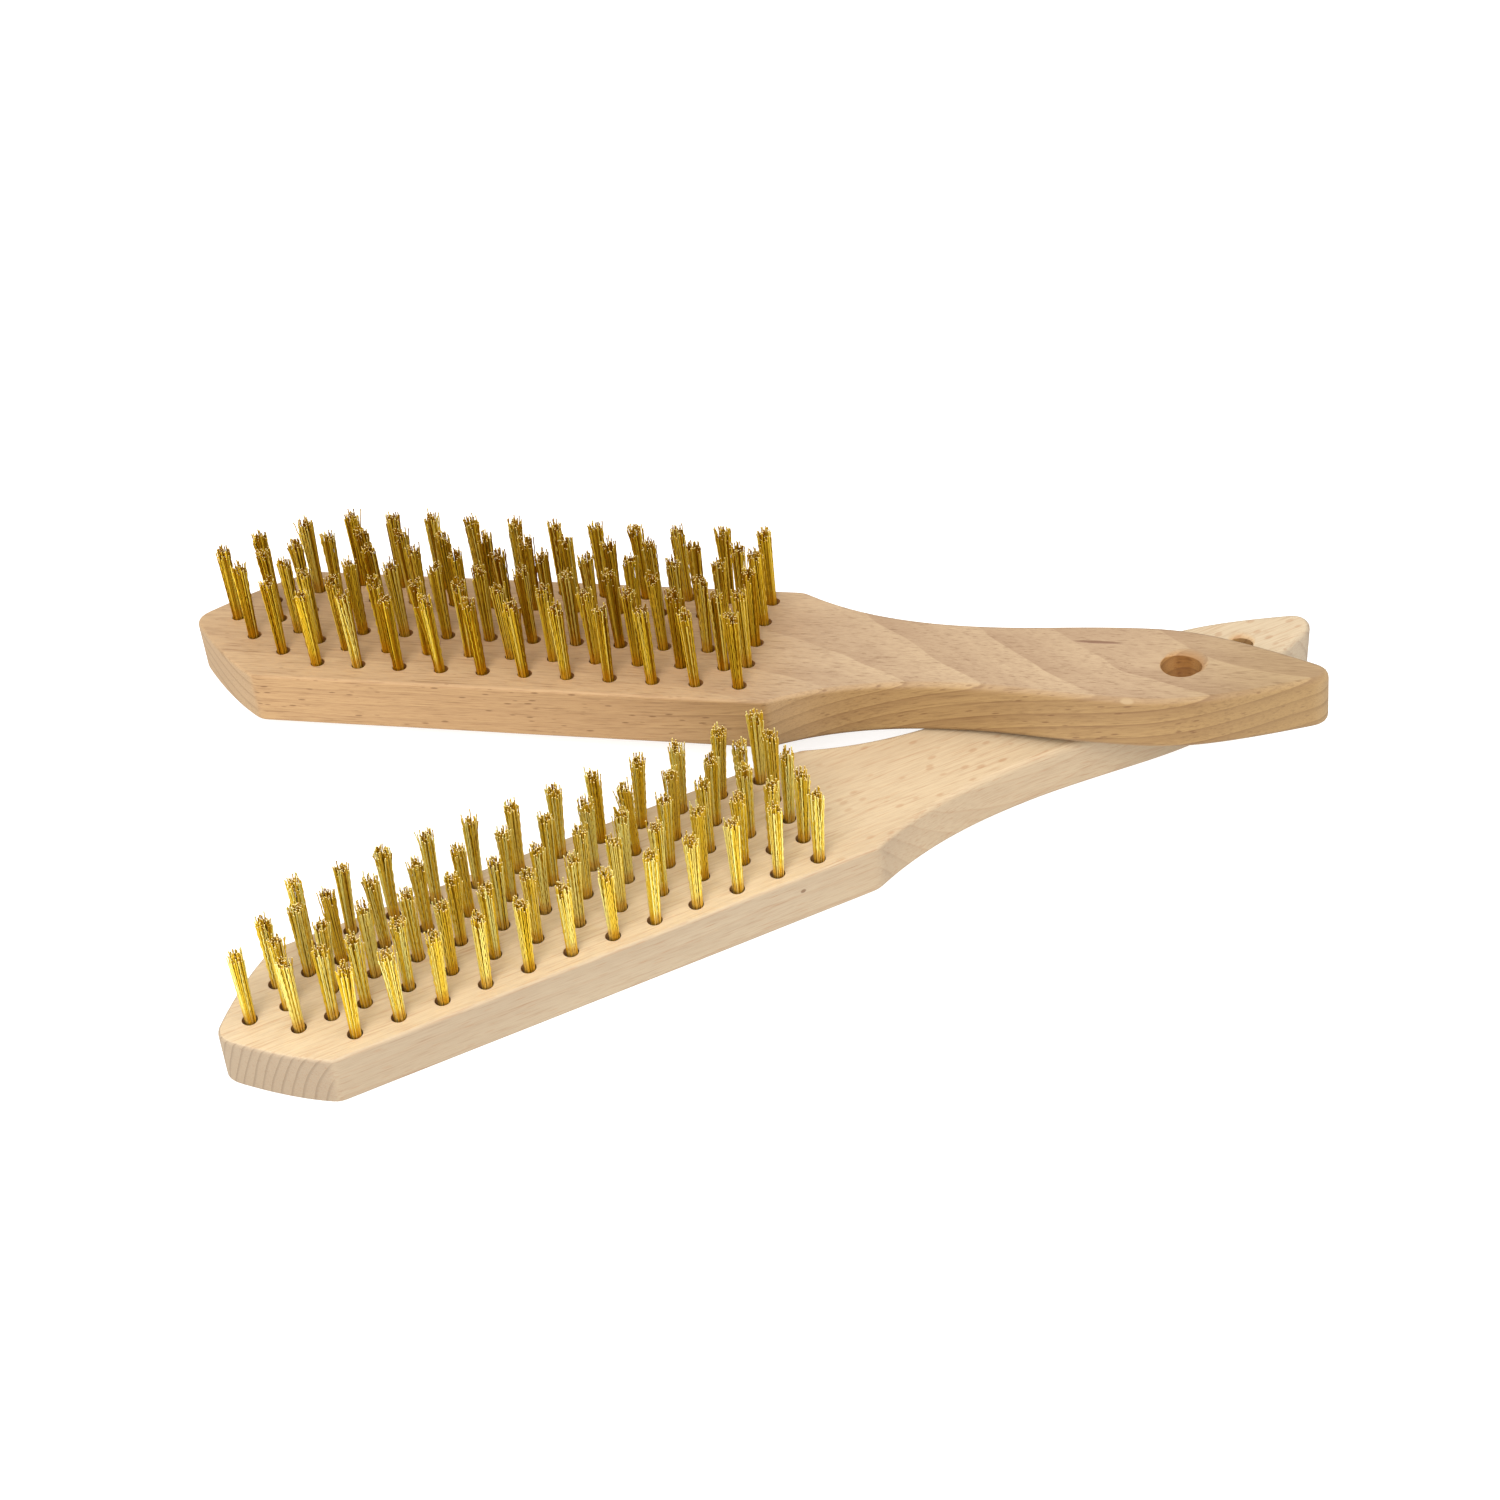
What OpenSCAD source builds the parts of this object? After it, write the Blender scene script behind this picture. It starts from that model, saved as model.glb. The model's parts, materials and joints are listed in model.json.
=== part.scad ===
// A pair of wooden hand brushes with brass wire tufts, stored bristles up with their handles crossed.
// Each brush is one beech block: blind holes in its head hold wire tufts, folded in half round
// steel staples, and a larger hole in its handle hangs it up. The lower brush lies flat. The upper
// brush leans on the lower one's handle and on the far corner of its own nose.
//
// A brush has its own frame: X runs from the nose tip to the handle's end, Y across, and Z up from
// the underside. The last section places both brushes, with the pair's base centre at the origin.

/* [Blocks] */
// Length of the lower brush from nose tip to handle end
lower_length = 290.4; // [284:0.1:292]
// Length of the upper brush from nose tip to handle end
upper_length = 289.3; // [284:0.1:292]
// Length of the head, from nose tip to shoulders
head_length = 156.5; // [155:0.5:157]
// Width of the lower brush's head
lower_head_w = 40.2; // [39:0.2:42]
// Width of the upper brush's head
upper_head_w = 48.2; // [47:0.2:48.4]
// Width of the lower brush's neck
lower_neck_w = 23.2; // [22:0.2:23.6]
// Width of the upper brush's neck
upper_neck_w = 26.4; // [24:0.2:28]
// Width of the lower handle at its widest
lower_belly_w = 28.2; // [27:0.2:28.2]
// Width of the upper handle at its widest
upper_belly_w = 31.6; // [30:0.2:31.6]
// Thickness of the lower block
lower_thickness = 13.8; // [12:0.1:13.8]
// Thickness of the upper block
upper_thickness = 14; // [12:0.1:16]
// Radius of the rounded nose tip
nose_tip_r = 4.5; // [3:0.5:6]
// Radius of the rounded handle end
tail_tip_r = 4; // [3:0.5:5]

/* [Hanging holes] */
// Diameter of the lower brush's hanging hole
lower_hang_hole_d = 6; // [5:0.5:10]
// Diameter of the upper brush's hanging hole
upper_hang_hole_d = 10; // [6:0.5:11]
// Depth and width of the break around each mouth of a hanging hole
hang_hole_break = 1; // [0.5:0.1:1.5]
// Distance from the lower brush's handle end to its hanging hole
lower_hang_inset = 20; // [18:1:45]
// Distance from the upper brush's handle end to its hanging hole
upper_hang_inset = 35; // [18:1:45]

/* [Tufts] */
// Length of tuft that stands out of the block
tuft_length = 21; // [15:0.5:25]
// Diameter of a tuft at the block's face
tuft_base_d = 3.1; // [2.4:0.1:3.2]
// Diameter of a tuft across its cut ends
tuft_end_d = 3.8; // [3.2:0.1:4.5]
// Diameter of the drilled tuft holes
tuft_hole_d = 3.6; // [3.6:0.1:4]
// Depth of the drilled tuft holes
tuft_hole_depth = 8.5; // [7:0.1:8.5]
// Pitch of the tufts along the lower brush's rows
lower_pitch = 10.5; // [9.5:0.1:10.6]
// Distance between the lower brush's five rows
lower_row_gap = 7.75; // [7:0.05:8]
// Pitch of the tufts along the upper brush's outer rows
upper_pitch = 11; // [10:0.1:11.2]
// Pitch of the tufts along the upper brush's two middle rows
upper_middle_pitch = 11.4; // [10.5:0.1:11.6]
// Distance between the upper brush's six rows
upper_row_gap = 7.3; // [6.8:0.05:7.6]

/* [Staples] */
// Diameter of the staple wire
staple_wire_d = 0.7; // [0.5:0.05:0.7]
// Distance between the centres of a staple's legs
staple_span = 2.7; // [2.7:0.01:2.75]
// Depth to which a staple's legs bite below the tuft hole
staple_bite = 3; // [1.5:0.1:3]

/* [Hidden] */

$fn = 32;

// Turn of the lower brush about Z, and the place of its nose tip
lower_yaw = 23.82;
lower_at = [-124.25, -77.89, 0];
// Turns of the upper brush about X, Y and Z, and the place of its underside's nose tip. With these
// its underside clears the lower handle and the ground by less than 0.1 mm.
upper_turn = [-4.57, -3.73, -15.22];
upper_at = [-140.99, 70.09, 0.5];
// How far each brush's tufts are turned about its nose tip, in degrees, and set off it
lower_drill_turn = -0.72;
lower_drill_shift = [-0.15, 1.3];
upper_drill_turn = -0.33;
upper_drill_shift = [0.6, 1.5];

// Distance from each brush's nose tip to its last, straight column of tufts
lower_last_column = 143;
upper_last_column = 148.6;

// Slopes of the nose flank where it leaves the tip and where it meets the head's side, in degrees
flank_start_angle = 50;
flank_end_angle = 33;
// How much sooner than half the head's width the flank reaches the head's side
flank_end_step = 0.5;
// Where the neck is narrowest and the handle widest, and the handle end's slope in degrees
neck_x = head_length + 46.5;
belly_x = 245;
tail_angle = 23.5;
// How far each curve of the handle runs on straight from its ends, which sets how full it is
shoulder_run = 11.5;
shoulder_drop = 0.62;
neck_run = 21;
belly_run = 14;
tail_run = 18;
// Points on each curved stretch of the outline
curve_steps = 8;

// How far the drills run past a face
overrun = 1;
// Radial room round the staple wire, in the tuft and in the block
staple_room = 0.05;
// Wire folded under a staple's crown, and the radius of the staple's bends
fold_thickness = 0.65;
staple_bend_r = 0.6;
staple_point_length = 0.5;
// Profile of the folded end of a tuft: narrow where the staple grips it
fold_r = 0.9;
fold_corner_r = 0.7;
fold_corner_height = 0.5;
fold_height = 2.2;
flare_height = 4;
// Height of the crown's centre above the tuft hole's floor
crown_height = fold_thickness + staple_room + staple_wire_d / 2;

// Points of a circular arc after its first point, from angle a to angle b
function arc(center, r, a, b, steps = curve_steps) =
    [for (i = [1:steps]) center + r * [cos(a + (b - a) * i / steps), sin(a + (b - a) * i / steps)]];

// Points of a cubic curve after its first point
function curve(p, q, r, s, steps = curve_steps) =
    [for (i = [1:steps]) let (t = i / steps, u = 1 - t)
        u * u * u * p + 3 * u * u * t * q + 3 * u * t * t * r + t * t * t * s];

// Where the line through p at angle a meets the line through q at angle b
function meeting(p, a, q, b) =
    let (x = (q.y - p.y + p.x * tan(a) - q.x * tan(b)) / (tan(a) - tan(b)))
    [x, p.y + (x - p.x) * tan(a)];

// One side of a brush's outline, from the nose tip to the handle's end
function side_outline(length, head_w, neck_w, belly_w) =
    let (
        head_r = head_w / 2,
        neck_r = neck_w / 2,
        belly_r = belly_w / 2,
        tip = arc([nose_tip_r, 0], nose_tip_r, 180, 90 + flank_start_angle, 4),
        flank_start = tip[len(tip) - 1],
        flank_end = [head_r - flank_end_step, head_r],
        flank_bend = meeting(flank_start, flank_start_angle, flank_end, flank_end_angle),
        shoulder = [head_length, head_r],
        neck = [neck_x, neck_r],
        belly = [belly_x, belly_r],
        tail_center = [length - tail_tip_r, 0],
        tail = tail_center + tail_tip_r * [sin(tail_angle), cos(tail_angle)]
    )
    concat(
        [[0, 0]],
        tip,
        curve(flank_start, (flank_start + 2 * flank_bend) / 3,
            (flank_end + 2 * flank_bend) / 3, flank_end),
        [shoulder],
        curve(shoulder, shoulder + [shoulder_run, -shoulder_drop * (head_r - neck_r)],
            neck - [neck_run, 0], neck),
        curve(neck, neck + [belly_run, 0], belly - [belly_run, 0], belly),
        curve(belly, belly + [belly_run, 0],
            tail - tail_run * [cos(tail_angle), -sin(tail_angle)], tail),
        arc(tail_center, tail_tip_r, 90 - tail_angle, 0, 4)
    );

// The whole outline: one side, and the other side back to the nose
function outline(side) =
    concat(side, [for (i = [len(side) - 2:-1:1]) [side[i].x, -side[i].y]]);

// Tuft places turned about the nose tip and set off it
function drilled(places, turn, shift) =
    [for (p = places) shift + [p.x * cos(turn) - p.y * sin(turn), p.x * sin(turn) + p.y * cos(turn)]];

// Steps of pitch from the last column to each tuft of the lower brush's outer, staggered and
// middle rows. The staggered rows close up at both ends to fill the corners.
outer_steps = [for (i = [0:11]) i];
staggered_steps = concat([0, 0.75], [for (i = [1:10]) i + 0.5], [11.25, 12]);
middle_steps = concat([for (i = [0:12]) i], [12.85]);
lower_steps = [outer_steps, staggered_steps, middle_steps, staggered_steps, outer_steps];

// Tuft places in each row of the lower brush, from the near row to the far row
lower_places = [for (row = [0:4]) drilled(
    [for (i = lower_steps[row]) [lower_last_column - i * lower_pitch, (row - 2) * lower_row_gap]],
    lower_drill_turn, lower_drill_shift)];

// Tuft places in each row of the upper brush. Each row ends in the tufts that step in along the
// nose: the outer rows have one, the staggered rows two and the middle rows one.
upper_nose_places = [
    [[27.7, 14]],
    [[35.5, 8.5], [17.5, 7.9]],
    [[28.8, 4.4]],
];
upper_row_y = [2.5 * upper_row_gap, 1.5 * upper_row_gap, 0.5 * upper_row_gap];
// The two middle rows start this far before the last column
near_middle_start = 11.4;
far_middle_start = 8.3;
upper_row_x = [
    [for (i = [0:10]) upper_last_column - i * upper_pitch],
    [for (i = [0:9]) upper_last_column - (i + 0.5) * upper_pitch],
    [for (i = [0:8]) upper_last_column - near_middle_start - i * upper_middle_pitch],
    [for (i = [0:8]) upper_last_column - far_middle_start - i * upper_middle_pitch],
];
function upper_row(line, xs, side) =
    drilled(
        concat(
            [for (x = xs) [x, side * upper_row_y[line]]],
            [for (p = upper_nose_places[line]) [p.x, side * p.y]]
        ),
        upper_drill_turn, upper_drill_shift
    );
upper_places = [
    upper_row(0, upper_row_x[0], -1),
    upper_row(1, upper_row_x[1], -1),
    upper_row(2, upper_row_x[2], -1),
    upper_row(2, upper_row_x[3], 1),
    upper_row(1, upper_row_x[1], 1),
    upper_row(0, upper_row_x[0], 1),
];
// Tufts between the rows: the inner three of the last column, and two on the nose's centreline
upper_center_places = drilled(
    [
        [upper_last_column, -1.25 * upper_row_gap], [upper_last_column, 0],
        [upper_last_column, 1.25 * upper_row_gap], [21.7, 0], [10.2, 0],
    ],
    upper_drill_turn, upper_drill_shift
);

// A drill from the top face down to a tuft hole's floor, with the two pilots of its staple's legs
module tuft_hole() {
    cylinder(d = tuft_hole_d, h = tuft_hole_depth + overrun);
    for (side = [-1, 1])
        translate([0, side * staple_span / 2, -staple_bite - staple_room])
            cylinder(d = staple_wire_d + 2 * staple_room, h = staple_bite + overrun);
}

// A through hole with both its mouths broken
module hanging_hole(r, thickness) {
    past_mouth_r = r + hang_hole_break + overrun;
    translate([0, 0, -overrun])
        cylinder(r = r, h = thickness + 2 * overrun);
    translate([0, 0, -overrun])
        cylinder(r1 = past_mouth_r, r2 = r, h = hang_hole_break + overrun);
    translate([0, 0, thickness - hang_hole_break])
        cylinder(r1 = r, r2 = past_mouth_r, h = hang_hole_break + overrun);
}

module block(side, thickness, hang_x, hang_r, places) {
    difference() {
        linear_extrude(thickness)
            polygon(outline(side));
        for (p = places)
            translate([p.x, p.y, thickness - tuft_hole_depth])
                tuft_hole();
        translate([hang_x, 0, 0])
            hanging_hole(hang_r, thickness);
    }
}

// A bundle of wires, folded in half, standing on its hole's floor
module tuft() {
    difference() {
        rotate_extrude()
            polygon([
                [0, 0], [fold_corner_r, 0], [fold_r, fold_corner_height], [fold_r, fold_height],
                [tuft_base_d / 2, flare_height], [tuft_base_d / 2, tuft_hole_depth],
                [tuft_end_d / 2, tuft_hole_depth + tuft_length], [0, tuft_hole_depth + tuft_length],
            ]);
        translate([0, 0, crown_height])
            rotate([90, 0, 0])
                cylinder(d = staple_wire_d + 2 * staple_room, h = 4 * fold_r, center = true);
    }
}

// Half a staple: half its crown, a bend and one pointed leg
module staple_half() {
    half_crown = staple_span / 2 - staple_bend_r;
    leg_length = crown_height - staple_bend_r + staple_bite - staple_point_length;
    translate([0, half_crown, crown_height - staple_bend_r])
        rotate([90, 0, 90])
            rotate_extrude(angle = 90)
                translate([staple_bend_r, 0])
                    circle(d = staple_wire_d);
    translate([0, staple_span / 2, crown_height - staple_bend_r - leg_length])
        cylinder(d = staple_wire_d, h = leg_length);
    translate([0, staple_span / 2, -staple_bite])
        cylinder(d1 = staple_wire_d / 4, d2 = staple_wire_d, h = staple_point_length);
}

// A staple over a tuft's fold, measured from the tuft hole's floor
module staple() {
    translate([0, 0, crown_height])
        rotate([90, 0, 0])
            cylinder(d = staple_wire_d, h = staple_span - 2 * staple_bend_r, center = true);
    staple_half();
    mirror([0, 1, 0])
        staple_half();
}

module place_lower() {
    translate(lower_at)
        rotate([0, 0, lower_yaw])
            children();
}

module place_upper() {
    translate(upper_at)
        rotate(upper_turn)
            children();
}

module lower_block() {
    color("wheat")
        place_lower()
            block(side_outline(lower_length, lower_head_w, lower_neck_w, lower_belly_w),
                lower_thickness, lower_length - lower_hang_inset, lower_hang_hole_d / 2,
                [for (row = lower_places) each row]);
}

module upper_block() {
    color("burlywood")
        place_upper()
            block(side_outline(upper_length, upper_head_w, upper_neck_w, upper_belly_w),
                upper_thickness, upper_length - upper_hang_inset, upper_hang_hole_d / 2,
                concat([for (row = upper_places) each row], upper_center_places));
}

module tufts(places, thickness) {
    color("goldenrod")
        for (p = places)
            translate([p.x, p.y, thickness - tuft_hole_depth])
                tuft();
}

module staples(places, thickness) {
    color("silver")
        for (p = places)
            translate([p.x, p.y, thickness - tuft_hole_depth])
                staple();
}

// Rows count from 1 at the side that faces the near side of the pair
module lower_tufts_row(row) {
    place_lower()
        tufts(lower_places[row - 1], lower_thickness);
}

module lower_staples_row(row) {
    place_lower()
        staples(lower_places[row - 1], lower_thickness);
}

module upper_tufts_row(row) {
    place_upper()
        tufts(upper_places[row - 1], upper_thickness);
}

module upper_staples_row(row) {
    place_upper()
        staples(upper_places[row - 1], upper_thickness);
}

module upper_tufts_center() {
    place_upper()
        tufts(upper_center_places, upper_thickness);
}

module upper_staples_center() {
    place_upper()
        staples(upper_center_places, upper_thickness);
}

lower_block();
upper_block();
lower_tufts_row(1);  // lower_tufts_row_1
lower_tufts_row(2);  // lower_tufts_row_2
lower_tufts_row(3);  // lower_tufts_row_3
lower_tufts_row(4);  // lower_tufts_row_4
lower_tufts_row(5);  // lower_tufts_row_5
upper_tufts_row(1);  // upper_tufts_row_1
upper_tufts_row(2);  // upper_tufts_row_2
upper_tufts_row(3);  // upper_tufts_row_3
upper_tufts_row(4);  // upper_tufts_row_4
upper_tufts_row(5);  // upper_tufts_row_5
upper_tufts_row(6);  // upper_tufts_row_6
upper_tufts_center();
lower_staples_row(1);  // lower_staples_row_1
lower_staples_row(2);  // lower_staples_row_2
lower_staples_row(3);  // lower_staples_row_3
lower_staples_row(4);  // lower_staples_row_4
lower_staples_row(5);  // lower_staples_row_5
upper_staples_row(1);  // upper_staples_row_1
upper_staples_row(2);  // upper_staples_row_2
upper_staples_row(3);  // upper_staples_row_3
upper_staples_row(4);  // upper_staples_row_4
upper_staples_row(5);  // upper_staples_row_5
upper_staples_row(6);  // upper_staples_row_6
upper_staples_center();
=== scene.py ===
"""Looks for a pair of wooden hand brushes with brass wire tufts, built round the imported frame.

Each brush is modelled in its own frame and placed as its CAD block is: X runs from the nose tip to
the handle's end, Y across, and Z up from the underside. Shapes are worked out in millimetres and
become metres when their mesh is made.
"""

import json
import math
from dataclasses import dataclass

import bpy
import numpy as np
from mathutils import Euler, Matrix, Vector
from mathutils.geometry import delaunay_2d_cdt


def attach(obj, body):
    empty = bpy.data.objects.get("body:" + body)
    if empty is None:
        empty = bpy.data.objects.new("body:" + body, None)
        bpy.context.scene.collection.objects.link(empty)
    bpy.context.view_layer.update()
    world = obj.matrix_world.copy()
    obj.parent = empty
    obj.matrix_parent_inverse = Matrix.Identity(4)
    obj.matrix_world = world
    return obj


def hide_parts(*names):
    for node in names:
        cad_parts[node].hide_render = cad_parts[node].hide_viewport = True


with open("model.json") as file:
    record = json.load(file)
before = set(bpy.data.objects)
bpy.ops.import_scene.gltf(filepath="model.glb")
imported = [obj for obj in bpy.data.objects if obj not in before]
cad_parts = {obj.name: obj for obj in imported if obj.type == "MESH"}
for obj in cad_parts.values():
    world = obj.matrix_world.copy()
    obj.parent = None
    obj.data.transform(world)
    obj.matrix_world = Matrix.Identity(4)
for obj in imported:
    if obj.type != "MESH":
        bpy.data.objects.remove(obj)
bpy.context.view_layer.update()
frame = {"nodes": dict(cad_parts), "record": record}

MM = 0.001
UP = np.array([0.0, 0.0, 1.0])

# Blocks
HEAD_LENGTH = 156.5
NECK_X = HEAD_LENGTH + 46.5
BELLY_X = 245
NOSE_TIP_R = 4.5
TAIL_TIP_R = 4
TAIL_ANGLE = 23.5
FLANK_START_ANGLE = 50
FLANK_END_ANGLE = 33
FLANK_END_STEP = 0.5
SHOULDER_RUN = 11.5
SHOULDER_DROP = 0.62
NECK_RUN = 21
BELLY_RUN = 14
TAIL_RUN = 18
OUTLINE_STEP = 1.0
OUTLINE_SMOOTHING = 2
HEAD_EDGE_R = 0.9
HANDLE_EDGE_R = 1.7
EDGE_STEPS = 5
EDGE_WEAR = 0.16
HANG_STEPS = 72
HANG_BREAK = 0.2
HANG_LOW_BREAK = 0.6
CHIP_ANGLE = 55
CHIP_SLOPE = 0.45
CHIP_ROUGHNESS = 0.18
TUFT_HOLE_STEPS = 24
TUFT_HOLE_BREAK = 0.06

# Tufts
TUFT_HOLE_D = 3.6
TUFT_HOLE_DEPTH = 8.5
TUFT_LENGTH = 21
TUFT_BASE_D = 3.1
TUFT_END_D = 3.8
SPLAY_D = 4.5
WIRE_D = 0.32
CUT_END_SPREAD = 1.2
CROWN_HEIGHT = 1.1
FOLD_R = 0.7
CRIMP_LENGTH = 2.9
CRIMP_DEPTH = 0.075
INNER_SHARE = 0.52
OUTER_STEPS = 38
INNER_STEPS = 14
WIRE_SIDES = 3
TUFT_LEAN = 0.014
TUFT_DRIFT = 0.02
WIRE_DRIFT = 0.05

# Cut ends: how far the wires end past the tuft's length, and the shares of long and of stray ones.
CUT_MEAN = -0.8
CUT_SPREAD = 0.9
CUT_LEAST = -3
CUT_MOST = 0.6
LONG_SHARE = 0.08
LONG_RISE = (0.3, 1.3)
STRAY_SHARE = 0.05
STRAY_TIMES = 3.5
SPLAY_SPREAD = 0.2


@dataclass
class Brush:
    """One brush: its own sizes, where it lies, and how its wood was cut from the tree.

    Lengths are in millimetres and turns in degrees. Tufts lean on one side of their holes, by
    tuft_shift. The pith is given across and up, and the grain rises most steeply at rise_at."""

    name: str
    length: float
    head_w: float
    neck_w: float
    belly_w: float
    thickness: float
    hang_inset: float
    hang_hole_d: float
    at: tuple
    turn: tuple
    tuft_shift: tuple
    hole_chip: float
    wire_tone: tuple
    pith: tuple
    grain_rise: float
    rise_at: float
    seed: int

    @property
    def pose(self):
        turn = Euler([math.radians(a) for a in self.turn], "XYZ").to_matrix().to_4x4()
        return Matrix.Translation(Vector(self.at) * MM) @ turn

    def to_row(self, points, place=True):
        """Points in millimetres, or directions, taken from the brush's frame to the row frame."""
        pose = np.array(self.pose)
        turned = np.asarray(points) @ pose[:3, :3].T
        return turned * MM + pose[:3, 3] if place else turned

    def from_row(self, points):
        pose = np.array(self.pose)
        return (np.asarray(points) - pose[:3, 3]) @ pose[:3, :3] / MM

    @property
    def nodes(self):
        return frame["record"]["behaviour"]["bodies"][f"{self.name}_brush"]


# The lower brush's growth layers stand upright along it. The upper brush's lie flatter, and its
# grain rises along the handle, so they run out through its faces.
lower = Brush(
    name="lower",
    length=290.4,
    head_w=40.2,
    neck_w=23.2,
    belly_w=28.2,
    thickness=13.8,
    hang_inset=20,
    hang_hole_d=6,
    at=(-124.25, -77.89, 0),
    turn=(0, 0, 23.82),
    tuft_shift=(0.19, -0.25),
    hole_chip=1.4,
    wire_tone=(0.45, 1.0),
    pith=(-121, -22),
    grain_rise=0.0,
    rise_at=0,
    seed=11,
)
upper = Brush(
    name="upper",
    length=289.3,
    head_w=48.2,
    neck_w=26.4,
    belly_w=31.6,
    thickness=14,
    hang_inset=35,
    hang_hole_d=10,
    at=(-140.99, 70.09, 0.5),
    turn=(-4.57, -3.73, -15.22),
    tuft_shift=(-0.19, -0.25),
    hole_chip=1.9,
    wire_tone=(0.12, 0.77),
    pith=(39.7, -170.2),
    grain_rise=0.181,
    rise_at=209.2,
    seed=23,
)
RISE_SPREAD = 60


# Outlines


def arc(center, r, start, end, steps):
    """Points on an arc after its first point, from angle start to angle end in degrees."""
    a = np.radians(start + (end - start) * np.arange(1, steps + 1) / steps)
    return [np.array(center) + r * np.array([math.cos(t), math.sin(t)]) for t in a]


def curve(p, q, r, s, steps=24):
    """Points on a cubic curve after its first point."""
    p, q, r, s = (np.array(v, float) for v in (p, q, r, s))
    t = np.arange(1, steps + 1)[:, None] / steps
    u = 1 - t
    return list(u**3 * p + 3 * u**2 * t * q + 3 * u * t**2 * r + t**3 * s)


def meeting(p, a, q, b):
    """Where the line through p at angle a meets the line through q at angle b."""
    ta, tb = math.tan(math.radians(a)), math.tan(math.radians(b))
    x = (q[1] - p[1] + p[0] * ta - q[0] * tb) / (ta - tb)
    return np.array([x, p[1] + (x - p[0]) * ta])


def side_outline(brush):
    """One side of a brush's outline, from the nose tip to the handle's end."""
    head_r, neck_r, belly_r = brush.head_w / 2, brush.neck_w / 2, brush.belly_w / 2
    tip = arc((NOSE_TIP_R, 0), NOSE_TIP_R, 180, 90 + FLANK_START_ANGLE, 6)
    flank_end = np.array([head_r - FLANK_END_STEP, head_r])
    bend = meeting(tip[-1], FLANK_START_ANGLE, flank_end, FLANK_END_ANGLE)
    shoulder = np.array([HEAD_LENGTH, head_r])
    neck = np.array([NECK_X, neck_r])
    belly = np.array([BELLY_X, belly_r])
    tail_center = np.array([brush.length - TAIL_TIP_R, 0])
    slope = math.radians(TAIL_ANGLE)
    tail = tail_center + TAIL_TIP_R * np.array([math.sin(slope), math.cos(slope)])
    to_tail = np.array([math.cos(slope), -math.sin(slope)])
    return np.array(
        [np.zeros(2)]
        + tip
        + curve(tip[-1], (tip[-1] + 2 * bend) / 3, (flank_end + 2 * bend) / 3, flank_end)
        + [shoulder]
        + curve(
            shoulder,
            shoulder + [SHOULDER_RUN, -SHOULDER_DROP * (head_r - neck_r)],
            neck - [NECK_RUN, 0],
            neck,
        )
        + curve(neck, neck + [BELLY_RUN, 0], belly - [BELLY_RUN, 0], belly)
        + curve(belly, belly + [BELLY_RUN, 0], tail - TAIL_RUN * to_tail, tail)
        + arc(tail_center, TAIL_TIP_R, 90 - TAIL_ANGLE, 0, 6)
    )


def outline(brush):
    """Evenly spaced points round a brush, with its corners eased, and their outward normals."""
    side = side_outline(brush)
    loop = np.vstack([side, (side * [1, -1])[-2:0:-1]])
    closed = np.vstack([loop, loop[:1]])
    along = np.concatenate([[0], np.cumsum(np.linalg.norm(np.diff(closed, axis=0), axis=1))])
    stops = np.arange(0, along[-1] - OUTLINE_STEP / 2, OUTLINE_STEP)
    points = np.column_stack([np.interp(stops, along, closed[:, i]) for i in (0, 1)])
    for _ in range(OUTLINE_SMOOTHING):
        points = (np.roll(points, 1, 0) + 2 * points + np.roll(points, -1, 0)) / 4
    tangents = np.roll(points, -1, 0) - np.roll(points, 1, 0)
    normals = np.column_stack([-tangents[:, 1], tangents[:, 0]])
    return points, normals / np.linalg.norm(normals, axis=1, keepdims=True)


# Meshes


class Shell:
    """Points with their own normals, in millimetres in a brush's frame, and faces between them."""

    def __init__(self):
        self.points, self.normals, self.bored, self.faces = [], [], [], []

    def add(self, points, normals, bored=0.0):
        """Adds points and returns their indices. Bored is 1 on the walls that a drill cut, which the
        wood darkens and warms as painted shade.
        """
        first = sum(len(p) for p in self.points)
        self.bored.append(np.full(len(points), bored))
        self.points.append(np.asarray(points, float))
        self.normals.append(np.asarray(normals, float))
        return np.arange(first, first + len(points))

    def band(self, high, low):
        """Joins two rings of the same length with quads. They face out of a clockwise outline,
        and into a counterclockwise hole."""
        self.faces += [
            (int(i), int(j), int(k), int(n))
            for i, j, k, n in zip(high, np.roll(high, -1), np.roll(low, -1), low)
        ]

    def cap(self, rings, upward):
        """Fills the flat area inside the first ring and outside the others."""
        points = np.vstack(self.points)
        index = np.concatenate(rings)
        flat = points[index][:, :2]
        edges, first = [], 0
        for ring in rings:
            n = len(ring)
            edges += [(first + i, first + (i + 1) % n) for i in range(n)]
            first += n
        _, _, triangles, origins, _, _ = delaunay_2d_cdt(
            [Vector(p) for p in flat], edges, [], 0, 1e-7
        )
        start, end = flat[[e[0] for e in edges]], flat[[e[1] for e in edges]]
        for triangle in triangles:
            corners = [origins[i][0] for i in triangle]
            x, y = flat[corners].mean(0)
            crosses = (start[:, 1] > y) != (end[:, 1] > y)
            run = (end[:, 0] - start[:, 0]) / np.where(crosses, end[:, 1] - start[:, 1], 1)
            left = crosses & (x < start[:, 0] + (y - start[:, 1]) * run)
            if left.sum() % 2:
                a, b, c = flat[corners]
                ab, ac = b - a, c - a
                if (ab[0] * ac[1] - ab[1] * ac[0] > 0) != upward:
                    corners.reverse()
                self.faces.append(tuple(int(index[i]) for i in corners))


def circle(center, radii, z, inward=True):
    """A ring of points round center at height z, with normals that face the axis or point up."""
    a = 2 * math.pi * np.arange(len(radii)) / len(radii)
    away = np.column_stack([np.cos(a), np.sin(a), np.zeros(len(a))])
    points = away * np.asarray(radii)[:, None] + [center[0], center[1], 0] + np.outer(
        z * np.ones(len(a)), UP
    )
    return points, -away if inward else np.tile(UP, (len(a), 1))


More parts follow.
